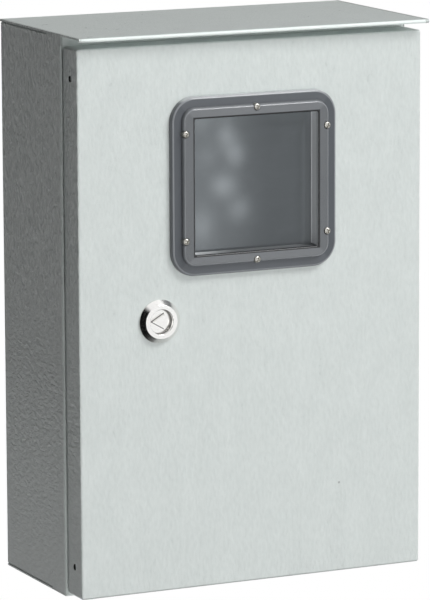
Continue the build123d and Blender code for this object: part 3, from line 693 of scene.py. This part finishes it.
def threadRows(radius, low, high, pitch, depth, cols, perTurn=8):
    # the radius less a saw-tooth of (height in pitches - share of a turn), running out at both ends
    height = np.linspace(low, high, int((high - low) / pitch * perTurn) + 1)[:, None]
    turn = np.arange(cols)[None, :] / cols
    tooth = np.abs(((height / pitch - turn) % 1) * 2 - 1)
    runOut = np.clip(np.minimum(height - low, high - height) / pitch, 0, 1)
    return radius - depth * (1 - (1 - tooth) * runOut), height


def hexReach(width, cols):
    # distance from the axis to a hexagon's flat: half width over the cosine of the angle to its middle
    return width / 2 / np.cos(turnAngles(cols) % (np.pi / 3) - np.pi / 6)


mergeGap, sliverGap = 2e-7, 1e-7  # in metres; the first closes poles and seams


def addPiece(name, grids, slot, body, standsFor=(), crease=35.0):
    counts = np.cumsum([0] + [g.shape[0] * g.shape[1] for g in grids])
    verts = np.concatenate([g.reshape(-1, 3) for g in grids]) * mm
    quads = np.concatenate([gridFaces(*g.shape[:2]) + start for g, start in zip(grids, counts)])
    piece = meshPiece(name, verts, quads)
    soft = bmesh.new()
    soft.from_mesh(piece.data)
    bmesh.ops.remove_doubles(soft, verts=soft.verts, dist=mergeGap)
    bmesh.ops.dissolve_degenerate(soft, edges=soft.edges, dist=sliverGap)
    bmesh.ops.recalc_face_normals(soft, faces=soft.faces)
    soft.to_mesh(piece.data)
    soft.free()
    piece.data.shade_smooth()
    piece.data.set_sharp_from_angle(angle=math.radians(crease))
    piece.data.materials.append(looks[slot])
    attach(piece, body)
    if standsFor:
        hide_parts(*standsFor)
    print("piece", name, len(piece.data.polygons), "faces")
    return piece


# shares of the head, its slot, the pitch and the shank; neck and run-out in mm
screwForm = {
    "power": 2.7, "domeSteps": 30,
    "slotWide": 0.17, "slotLong": 0.62, "slotDepth": 0.7, "sideSlope": 0.35, "endSlope": 0.5,
    "threadDepth": 0.4, "perTurn": 6, "neck": 0.3, "runOut": 0.4, "tip": 0.75,
}


def screw(spot, axis, plan, cols=60, form=screwForm):
    # head: superellipse dome on a short cylinder, with a cross cut where one of the two offsets is small
    # and the other short; then the flat under it and a threaded shank
    t = np.linspace(0, np.pi / 2, form["domeSteps"])[:, None]
    bulge = 2 / form["power"]
    radius = plan["head"] * np.sin(t) ** bulge
    angle = turnAngles(cols) + plan["turn"]
    across, along = np.abs(radius * np.cos(angle)), np.abs(radius * np.sin(angle))
    wide, reach = plan["head"] * form["slotWide"], plan["head"] * form["slotLong"]
    slot = np.clip((wide - np.minimum(across, along)) / (wide * form["sideSlope"]) + 0.5, 0, 1)
    slot = slot * np.clip((reach - np.maximum(across, along)) / (wide * form["endSlope"]) + 0.5, 0, 1)
    height = plan["rise"] - plan["dome"] + plan["dome"] * np.cos(t) ** bulge
    height = height - slot * plan["dome"] * form["slotDepth"]
    pitch, depth = plan["pitch"], plan["pitch"] * form["threadDepth"]
    low, high = form["runOut"] - plan["length"], -form["neck"]
    threads, shank = threadRows(plan["shank"], low, high, pitch, depth, cols, form["perTurn"])
    under, tip = column(plan["head"], plan["shank"]), column(plan["shank"] * form["tip"], 0)
    foot = column(-plan["length"], -plan["length"])
    rows = stacked((radius, under, threads[::-1], tip), cols)
    heights = stacked((height, column(0, 0), shank[::-1], foot), cols)
    return spun(rows, heights, spot, axis, cols)


# shares of the width, the cone and the flange's height
nutForm = {"ring": 0.475, "slope": 0.58, "coneSteps": 5, "flangeEdge": 0.7}


def hexNut(spot, axis, plan, cols=72, form=nutForm):
    # bore, top ring, corners cut by a cone, flats, then a round flange or the lower cone
    flat = hexReach(plan["width"], cols)
    ring = plan["width"] * form["ring"]
    deepest = (plan["width"] / math.sqrt(3) - ring) * form["slope"]
    drop = np.linspace(0, deepest, form["coneSteps"])[:, None]
    upper = np.minimum(flat, ring + drop / form["slope"])
    if "flange" in plan:
        lower = [flat, column(plan["flange"], plan["flange"])]
        lows = [column(plan["flangeHeight"]), column(plan["flangeHeight"] * form["flangeEdge"], 0)]
    else:
        lower, lows = [upper[::-1]], [drop[::-1]]
    rows = [column(plan["bore"]), upper] + lower + [column(plan["bore"], plan["bore"])]
    heights = [column(plan["height"]), plan["height"] - drop] + lows + [column(0, plan["height"])]
    return spun(stacked(rows, cols), stacked(heights, cols), spot, axis, cols)


studForm = {"threadDepth": 0.5, "taper": 1.0, "tip": 0.7}  # shares of the pitch and the radius; taper in mm


def stud(spot, axis, plan, cols=40, form=studForm):
    # a threaded rod with a coned tip
    high, depth = plan["length"] - form["taper"], plan["pitch"] * form["threadDepth"]
    threads, along = threadRows(plan["radius"], 0, high, plan["pitch"], depth, cols)
    rows = stacked((column(0), threads, column(plan["radius"] * form["tip"], 0)), cols)
    heights = stacked((column(0), along, column(plan["length"], plan["length"])), cols)
    return spun(rows, heights, spot, axis, cols)


def domedCap(spot, axis, plan, cols=36):
    # shallow dome: rise times one less the squared share of the radius
    share = np.linspace(0, 1, plan["steps"])[:, None]
    rows = np.concatenate([share * plan["radius"], column(plan["radius"], 0)])
    heights = np.concatenate([plan["rise"] * (1 - share ** 2), column(-plan["sunk"], -plan["sunk"])])
    return spun(rows, heights, spot, axis, cols)


# places shared by the fasteners, in mm
outward, inward = (0, -1, 0), (0, 1, 0)
doorFront, doorInside = -149.0, -147.8
backInside, plateFront, railFront = -1.2, -18.2, -19.2
lockAcross, lockUp = -80.9, -3.25
signs = [(side, end) for side in (-1, 1) for end in (-1, 1)]

windowPlan = {
    "across": 61.3, "centre": 101.2, "up": 42.1, "ends": (40.9, 161.5), "rimFront": -154,
    "seed": 7, "mostTurn": 1.5,
}
across, centre, up = (windowPlan[key] for key in ("across", "centre", "up"))
windowSpots = [(side * across, centre + end * up) for side, end in signs]
windowSpots += [(0, end) for end in windowPlan["ends"]]
windowScrewPlan = {"head": 2.8, "rise": 5.0, "dome": 1.9, "shank": 1.5, "length": 10.1, "pitch": 0.5}
draw = np.random.default_rng(windowPlan["seed"])
turns = draw.uniform(0, windowPlan["mostTurn"], len(windowSpots))
windowScrews = [
    screw((x, windowPlan["rimFront"], z), outward, {**windowScrewPlan, "turn": float(turn)})
    for (x, z), turn in zip(windowSpots, turns)
]
addPiece("windowScrewSet", windowScrews, "zinc_fixings", "door", ("window_screws",))

windowNutPlan = {"width": 5.5, "height": 2.4, "bore": 1.52}
windowNuts = [hexNut((x, doorInside, z), inward, windowNutPlan) for x, z in windowSpots]
addPiece("windowNutSet", windowNuts, "zinc_fixings", "door", ("window_nuts",))

hingeScrewPlan = {
    "head": 3.7, "rise": 2.4, "dome": 2.0, "shank": 2.0, "length": 3.2, "pitch": 0.7, "turn": 0.3,
}
hingeSpots = [(148.9, -135.6, 189.2), (148.9, -135.6, -195.7)]
hingeScrews = [screw(spot, (1, 0, 0), hingeScrewPlan) for spot in hingeSpots]
addPiece("hingeScrewSet", hingeScrews, "zinc_fixings", "door", ("hinge_screws",))

railScrewPlan = {
    "head": 4.5, "rise": 3.0, "dome": 2.4, "shank": 2.5, "length": 4.5, "pitch": 0.8, "turn": 0.9,
}
railSpots = [(-75, railFront, -110), (75, railFront, -110)]
railScrews = [screw(spot, outward, railScrewPlan) for spot in railSpots]
addPiece("railScrewSet", railScrews, "zinc_fixings", "body", ("rail_screws",))

plateStudPlan = {"radius": 3.0, "length": 27.0, "pitch": 1.0}
plateAcross, plateUp = 103, 180.5
plateSpots = [(side * plateAcross, end * plateUp) for side, end in signs]
plateStuds = [stud((x, backInside, z), outward, plateStudPlan) for x, z in plateSpots]
addPiece("plateStudSet", plateStuds, "zinc_fixings", "body", ("plate_studs",))

flangeNutPlan = {"width": 10.0, "height": 5.0, "bore": 3.02, "flange": 6.5, "flangeHeight": 1.2}
plateNuts = [hexNut((x, plateFront, z), outward, flangeNutPlan) for x, z in plateSpots]
addPiece("plateNutSet", plateNuts, "zinc_fixings", "body", ("plate_nuts",))

earthPlan = {"radius": 3.0, "length": 26.0, "pitch": 1.0}
collarPlan = {"width": 10.0, "height": 5.0, "bore": 2.6}
earthSpot = (-132, backInside, -150.5)
earthGrids = [stud(earthSpot, outward, earthPlan), hexNut(earthSpot, outward, collarPlan)]
addPiece("earthStud", earthGrids, "zinc_fixings", "body", ("earth_stud",))

doorEarthPlan = {"radius": 3.0, "length": 15.0, "pitch": 1.0}
doorEarthSpot = (100.9, doorInside, -179.7)
doorEarthStud = stud(doorEarthSpot, inward, doorEarthPlan)
addPiece("doorEarthStud", [doorEarthStud], "zinc_fixings", "door", ("door_earth_stud",))
doorEarthNut = hexNut(doorEarthSpot, inward, flangeNutPlan)
addPiece("doorEarthNut", [doorEarthNut], "zinc_fixings", "door", ("door_earth_nut",))

lockNutPlan = {"width": 27.0, "height": 5.0, "bore": 11.02}
lockNut = hexNut((lockAcross, doorInside, lockUp), inward, lockNutPlan, cols=96)
addPiece("lockNut", [lockNut], "lock_chrome", "door", ("lock_nut",))

camScrewPlan = {"width": 10.0, "height": 5.5, "bore": 2.0, "flange": 7.0, "flangeHeight": 1.5}
camBoltPlan = {"radius": 2.95, "length": 12.0, "pitch": 1.0}
camCapPlan = {"radius": 2.9, "rise": 0.5, "sunk": 1.0, "steps": 6}
camSpot, capSpot = (lockAcross, -127.85, lockUp), (lockAcross, -122.35, lockUp)
camGrids = [
    hexNut(camSpot, inward, camScrewPlan),
    stud(camSpot, outward, camBoltPlan),
    domedCap(capSpot, inward, camCapPlan),
]
addPiece("camScrew", camGrids, "zinc_fixings", "lock", ("lock_cam_screw",))

# thread on the lock's barrel behind its nut, broken by the barrel's two flats
barrelPlan = {"crest": 11.12, "flat": 9.9, "inner": 9.5, "from": 6.4, "to": 17.6, "pitch": 1.0, "depth": 0.5}


def barrelThread(plan, cols=96):
    # smaller of the thread's radius and the distance to a flat
    threads, along = threadRows(plan["crest"], plan["from"], plan["to"], plan["pitch"], plan["depth"], cols)
    steepest = 1e-3  # keeps the distance finite along a flat
    threads = np.minimum(threads, plan["flat"] / np.maximum(np.abs(np.cos(turnAngles(cols))), steepest))
    inner = column(plan["inner"])
    rows = stacked((inner, threads, inner, inner), cols)
    heights = stacked((along[:1], along, along[-1:], along[:1]), cols)
    return spun(rows, heights, (lockAcross, doorFront, lockUp), inward, cols)


addPiece("lockBarrelThread", [barrelThread(barrelPlan)], "lock_chrome", "door")

# foamed seal: a domed bead on the door, with the groove that the body's lip presses into it
sealPlan = {
    "centre": (0.0, -0.75), "size": (262.8, 406.3), "corner": 6.0,
    "cornerSteps": 13, "runOver": 40.0, "runSteps": 40, "acrossSteps": 33,
    "halfWidth": 6.0, "rise": 8.4, "groove": 1.7, "press": 0.6,
    "shoulder": 0.9, "shoulderAt": 0.42, "shoulderWide": 0.2,
    "ripple": 0.12, "rippleStep": 0.9, "rippleAbove": 1.0,
}


def sealBead(plan):
    # profile across the bead: rise times a flattened dome, less a narrow groove, with shoulders beside it;
    # carried round a rounded rectangle, with a slow ripple along its length
    turn = np.linspace(0, np.pi / 2, plan["cornerSteps"])
    corner = np.stack([np.cos(turn), np.sin(turn)], -1)
    middle = np.array(plan["size"]) / 2 - plan["corner"]
    quarters = [corner, corner[::-1] * (-1, 1), corner * (-1, -1), corner[::-1] * (1, -1)]
    ways = np.array([(1, 1), (-1, 1), (-1, -1), (1, -1)])
    path = np.concatenate([way * middle + quarter * plan["corner"] for way, quarter in zip(ways, quarters)])
    gap = np.roll(path, -1, 0) - path
    straight = np.linalg.norm(gap, axis=1) > plan["runOver"]  # long straight runs are divided
    cut = np.linspace(0, 1, plan["runSteps"], endpoint=False)[:, None]
    runs = [spot + cut * step if divided else spot[None] for spot, step, divided in zip(path, gap, straight)]
    away = np.repeat(np.concatenate(quarters), [len(run) for run in runs], axis=0)
    path = np.concatenate(runs)
    across = np.linspace(-1, 1, plan["acrossSteps"])
    dome = plan["rise"] * (1 - np.abs(across) ** 4) ** 0.5
    press = plan["press"] * np.exp(-(across * plan["halfWidth"] / plan["groove"]) ** 2)
    lift = plan["shoulder"] * np.exp(-((np.abs(across) - plan["shoulderAt"]) / plan["shoulderWide"]) ** 2)
    top = np.minimum(dome, plan["rise"] + lift - press)
    offset = np.concatenate([across * plan["halfWidth"], [0.0]])
    height = np.concatenate([top, [0.0]])
    wave = plan["ripple"] * np.sin(np.arange(len(path))[:, None] * plan["rippleStep"])
    wave = wave * (height[None] > plan["rippleAbove"])
    x = path[:, :1] + away[:, :1] * offset[None] + plan["centre"][0]
    z = path[:, 1:] + away[:, 1:] * offset[None] + plan["centre"][1]
    grid = np.stack([x, doorInside + height[None] + wave, z], -1)
    return np.concatenate([grid, grid[:1]])


sealPiece = addPiece("doorSealBead", [sealBead(sealPlan)], "foam", "door", ("door_seal",), crease=60)

# rubber cable entries: stepped closed nipples with rounded edges; radius and height of each profile point
grommetPlan = {
    "profile": [
        (0, -9), (6, -9), (6, -6), (9.5, -6), (9.5, -3), (17.5, -3), (17.5, 0), (13.98, 0), (13.98, 1.2),
        (16.5, 1.2), (13.98, 3.7), (8, 3.7), (8, -4.5), (4.5, -4.5), (4.5, -7.5), (0, -7.5),
    ],
    "soften": 0.8,
    "across": {"left": -75, "centre": 0, "right": 75},
    "depth": -46,
    "floor": -222.5,
}
grommetLine = rounded(grommetPlan["profile"], grommetPlan["soften"])
for side, x in grommetPlan["across"].items():
    spot = (x, grommetPlan["depth"], grommetPlan["floor"])
    entry = spun(grommetLine[:, :1], grommetLine[:, 1:], spot, (0, 0, 1), cols=64)
    addPiece("grommet" + side.capitalize(), [entry], "rubber", "body", ("cable_grommet_" + side,), crease=50)

# weld beads that hold the hinge lugs to the body's lip
weldPlan = {
    "radius": 1.2, "ripple": 0.14, "pitch": 1.5, "blunt": 0.35, "least": 1e-6, "steps": 40,
    "from": -138.6, "to": -130.0,
}


def weldBead(start, end, plan, cols=16):
    # a tube along a line, its radius rippled along the run and drawn in at both ends
    start, end = np.array(start, float), np.array(end, float)
    share = np.linspace(0, 1, plan["steps"])[:, None]
    run = np.linalg.norm(end - start)
    radius = plan["radius"] * (np.sin(np.pi * share) ** plan["blunt"] + plan["least"])
    radius = radius * (1 + plan["ripple"] * np.sin(share * run / plan["pitch"] * 2 * np.pi))
    return spun(radius, share * run, start, (end - start) / run, cols)


for side in ("upper", "lower"):
    low, high = (np.array(corner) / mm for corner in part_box("hinge_lug_" + side))
    ends = [[(low[0], y, z) for y in (weldPlan["from"], weldPlan["to"])] for z in (low[2], high[2])]
    beads = [weldBead(start, end, weldPlan) for start, end in ends]
    addPiece("lugWeld" + side.capitalize(), beads, "paint", "body", crease=60)
print("pieces made")


# stage: pale floor far below the wall-hung box, white to the camera away from the shadow
stagePlan = {
    "drop": -0.78, "reach": 9.0, "lines": 9, "floorShade": (0.8, 0.8, 0.8, 1.0),
    "shadow": (0.5, 1.5), "shadowWhite": 0.75,
}


def seenDirectly(wire):  # 1 for camera, mirror and see-through rays
    outs = wire.node("ShaderNodeLightPath").socket.node.outputs
    kinds = ("Is Camera Ray", "Is Glossy Ray", "Is Transmission Ray")
    camera, glossy, through = (Wire(wire.tree, outs[kind]) for kind in kinds)
    return (camera + glossy + through).clamped()


def stageLook(thing):  # an empty material on a thing of the stage, and the way to give it a shader
    look = bpy.data.materials.new(thing.name)
    look.use_nodes = True
    tree = look.node_tree
    tree.nodes.remove(tree.nodes["Principled BSDF"])
    thing.data.materials.append(look)

    def finishWith(shader):
        tree.links.new(shader.socket, tree.nodes["Material Output"].inputs["Surface"])

    return Wire(tree), finishWith


def layFloor(plan):
    side = np.linspace(-1, 1, plan["lines"]) * plan["reach"]
    x, y = np.meshgrid(side, side)
    verts = np.stack([x, y, np.full_like(x, plan["drop"])], -1).reshape(-1, 3)
    floor = meshPiece("studioFloor", verts, gridFaces(plan["lines"], plan["lines"], closed=False))
    wire, finishWith = stageLook(floor)
    here = wire.node("ShaderNodeTexCoord", out="Object")
    level = here.stretched((1, 1, 0))
    far = level.node("ShaderNodeVectorMath", {"operation": "LENGTH"}, {0: level}, out="Value")
    fade = far.above(*plan["shadow"]) * (1.0 - plan["shadowWhite"]) + plan["shadowWhite"]
    matt = wire.node("ShaderNodeBsdfDiffuse", None, {"Color": plan["floorShade"]})
    white = wire.node("ShaderNodeEmission", None, {"Strength": 1.0})
    both = wire.node("ShaderNodeMixShader", None, {0: fade * seenDirectly(wire), 1: matt, 2: white})
    below = wire.node("ShaderNodeNewGeometry", out="Backfacing")  # seen through from underneath
    clear = wire.node("ShaderNodeBsdfTransparent")
    finishWith(wire.node("ShaderNodeMixShader", None, {0: below, 1: both, 2: clear}))


layFloor(stagePlan)

# light: a broad key in front, a lamp high on the right, a weak fill from the left and a lamp behind, in a
# dim surround; key and back lamp leave no mirror image. The cards show only in mirror images: dark flags
# for the lock's left and underside, a grey backdrop for the canopy's sheen, patches of cloud for the pane
lightPlan = {
    "lamps": {
        "key": {"spot": (0.1, -3.2, 0.09), "size": 1.7, "power": 36.7, "mirrored": False},
        "top": {"spot": (1.6, -2.2, 2.9), "size": 1.6, "power": 98.0, "mirrored": True},
        "fill": {"spot": (-1.9, -2.8, 0.0), "size": 1.4, "power": 5.6, "mirrored": True},
        "back": {"spot": (0.9, 2.8, -0.3), "size": 0.9, "power": 14.0, "mirrored": False},
    },
    "surround": 0.052,
    "flag": {"corner": (-1.15, -1.3, -0.75), "along": (0.0, 5.2, 0.0), "up": (0.0, 0.0, 2.9), "end": 0.004},
    "skirt": {"corner": (-1.2, -0.8, -0.7), "along": (1.75, 0.0, 0.0), "up": (0.0, 0.85, 0.0), "end": 0.15},
    "flagTone": {"dark": 0.004, "right": (-0.5, 0.1), "top": (0.9, 2.2)},
    "backdrop": {
        "corner": (-1.5, 3.2, 0.2), "along": (6.0, 0.0, 0.0), "up": (0.0, 0.0, 2.4),
        "tone": 0.555, "tint": (0.955, 1.0, 0.98, 1.0),
    },
    "cloud": {
        "distance": 1.2, "pane": (0.0, -0.1457, 0.1012), "half": 0.075,
        "plain": 0.9, "tint": (0.89, 0.96, 1.0, 1.0),
        # place across and up the pane in mm, half width, half height, strength
        "patches": [
            (-21.0, 38.0, 8, 11, 3.2), (-13.5, 22.5, 8, 10, 3.4), (-23.3, -2.0, 10, 9, 3.8),
            (-10.0, -21.0, 10, 10, 2.6), (-42.2, -32.6, 10, 14, 2.6), (-43.1, 50.2, 10, 9, 1.6),
            (-37.3, 21.2, 9, 10, 1.1),
        ],
        "left": {"from": -44.0, "to": 24.0, "step": 1.8},
        "margin": (12, 1),
    },
}


def hangLamp(name, plan):
    data = bpy.data.lights.new(name, "AREA")
    data.shape = "SQUARE"
    data.size = plan["size"]
    data.energy = plan["power"]
    lamp = bpy.data.objects.new(name, data)
    bpy.context.scene.collection.objects.link(lamp)
    lamp.location = plan["spot"]
    lamp.rotation_mode = "QUATERNION"
    lamp.rotation_quaternion = (-Vector(plan["spot"])).to_track_quat("-Z", "Y")
    lamp.visible_glossy = plan["mirrored"]


def lightWorld(level):
    world = bpy.data.worlds.new("studioAir")
    bpy.context.scene.world = world
    world.use_nodes = True
    tree = world.node_tree
    background = tree.nodes["Background"]
    background.inputs["Color"].default_value = (1, 1, 1, 1)
    seen = seenDirectly(Wire(tree))
    tree.links.new((seen * (1.0 - level) + level).socket, background.inputs["Strength"])


def standCard(name, plan, lines=5):
    # a flat card: its corner plus shares of its two sides
    share = np.linspace(0, 1, lines)
    u, v = (g[..., None] for g in np.meshgrid(share, share))
    verts = np.array(plan["corner"]) + u * np.array(plan["along"]) + v * np.array(plan["up"])
    card = meshPiece(name, verts.reshape(-1, 3), gridFaces(lines, lines, closed=False))
    card.visible_camera = False
    card.visible_diffuse = False
    card.visible_shadow = False
    return card


def shine(wire, strength, tint=(1.0, 1.0, 1.0, 1.0)):
    return wire.node("ShaderNodeEmission", None, {"Color": tint, "Strength": strength})


def darkFlag(name, plan, tone):  # black, growing paler towards its right end and its top
    wire, finishWith = stageLook(standCard(name, plan))
    x, z = wire.node("ShaderNodeTexCoord", out="Object").parts()[::2]
    paler = x.above(*tone["right"]) * (plan["end"] - tone["dark"]) + z.above(*tone["top"])
    finishWith(shine(wire, tone["dark"] + paler))


def greyCard(name, plan):  # one even tone
    wire, finishWith = stageLook(standCard(name, plan))
    finishWith(shine(wire, plan["tone"], plan["tint"]))


def cloudCard(plan):
    # a card square to the pane's mirrored line of sight; its map is in pane millimetres, and its light is
    # a step towards the left plus patches: strength times exp(-(across/width)^2 - (up/height)^2)
    pane, half, plain, left = np.array(plan["pane"]), plan["half"], plan["plain"], plan["left"]
    sight = pane - np.array(bpy.context.scene.camera.matrix_world.translation)
    spread = 1 + plan["distance"] / np.linalg.norm(sight)
    sight = sight / np.linalg.norm(sight) * (1, -1, 1)
    side = np.array([1.0, 0.0, 0.0]) * spread
    up = np.array([0.0, 0.0, 1.0]) * spread
    corner = pane + sight * plan["distance"] - side * half - up * half
    card = standCard("cloudCard", {"corner": corner, "along": side * 2 * half, "up": up * 2 * half})
    place = np.empty(len(card.data.vertices) * 3, np.float32)
    card.data.vertices.foreach_get("co", place)
    flat = (place.reshape(-1, 3) - corner) / (spread * mm) - half / mm
    ends = np.empty(len(card.data.loops), np.int32)
    card.data.loops.foreach_get("vertex_index", ends)
    layer = card.data.uv_layers.new(name="paneMap")
    layer.data.foreach_set("uv", np.ascontiguousarray(flat[ends][:, [0, 2]], np.float32).ravel())
    wire, finishWith = stageLook(card)
    across, rise = wire.node("ShaderNodeTexCoord", out="UV").parts()[:2]
    light = plain + across.below(left["from"], left["to"]) * left["step"]
    for x, z, width, height, strength in plan["patches"]:
        reach = ((across - x) / width) ** 2.0 + ((rise - z) / height) ** 2.0
        light = light + strength * math.e ** (0.0 - reach)
    fadeFrom, fadeTo = (half / mm - inset for inset in plan["margin"])
    middle = across.size().larger(rise.size()).below(fadeFrom, fadeTo)
    finishWith(shine(wire, light * middle + plain * (1.0 - middle), plan["tint"]))


for lampName, lampPlan in lightPlan["lamps"].items():
    hangLamp(lampName + "Lamp", lampPlan)
lightWorld(lightPlan["surround"])
darkFlag("darkFlag", lightPlan["flag"], lightPlan["flagTone"])
darkFlag("darkSkirt", lightPlan["skirt"], lightPlan["flagTone"])
greyCard("backdropCard", lightPlan["backdrop"])
cloudCard(lightPlan["cloud"])
print("stage and lights set")
